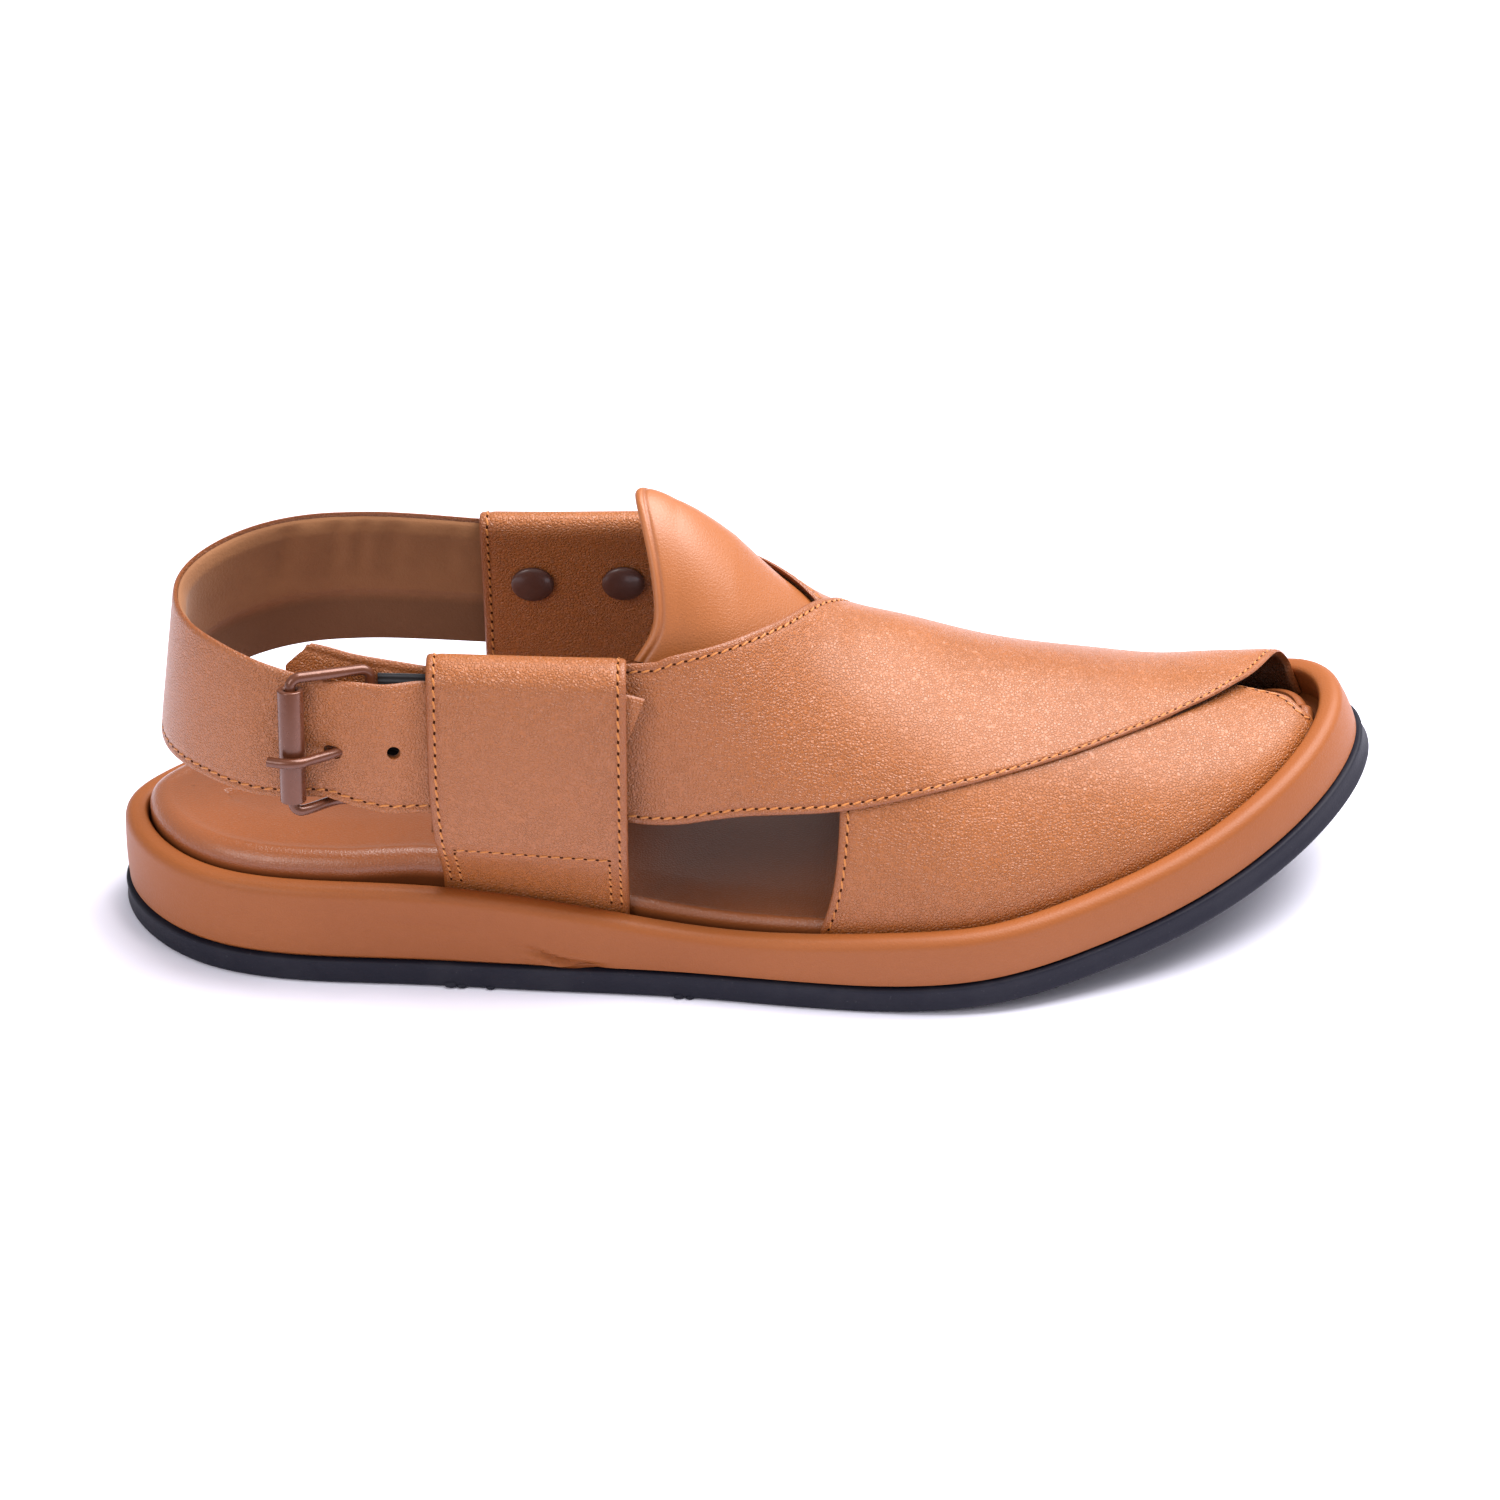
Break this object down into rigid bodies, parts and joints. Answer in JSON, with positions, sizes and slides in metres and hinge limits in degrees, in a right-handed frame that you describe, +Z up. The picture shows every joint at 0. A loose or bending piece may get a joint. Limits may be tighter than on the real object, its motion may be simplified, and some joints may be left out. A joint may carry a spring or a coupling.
{
  "type": "peshawari chappal sandal",
  "caption": "Right peshawari chappal in tan leather with two wide crossing straps, side loops, a buckled heel strap, a wrapped platform and a black rubber outsole",
  "frame": {"origin": "middle of the shoe's box, on the floor", "axes": "+X to the toe, +Y to the inner side, +Z up"},
  "size_m": [0.2896, 0.1024, 0.106],
  "materials": {
    "black_rubber": "matte moulded rubber",
    "tan_rand_leather": "smooth tan leather wrap with a soft sheen",
    "footbed_leather": "glossy padded tan leather",
    "tan_leather": "fine-grained tan leather",
    "brown_painted_metal": "glossy brown paint on metal",
    "dark_brown_cap": "dark brown enamel",
    "black_elastic": "woven elastic webbing"
  },
  "bodies": {
    "root": {"outsole": "black_rubber", "midsole": "tan_rand_leather", "insole": "footbed_leather", "upper": "tan_leather", "tongue": "tan_leather", "loop_outer": "tan_leather", "loop_inner": "tan_leather", "heel_strap": "tan_leather", "elastic": "black_elastic", "buckle_frame": "brown_painted_metal", "buckle_roller": "brown_painted_metal", "buckle_prong": "brown_painted_metal", "stud_rear": "dark_brown_cap", "stud_front": "dark_brown_cap"}
  },
  "joints": []
}
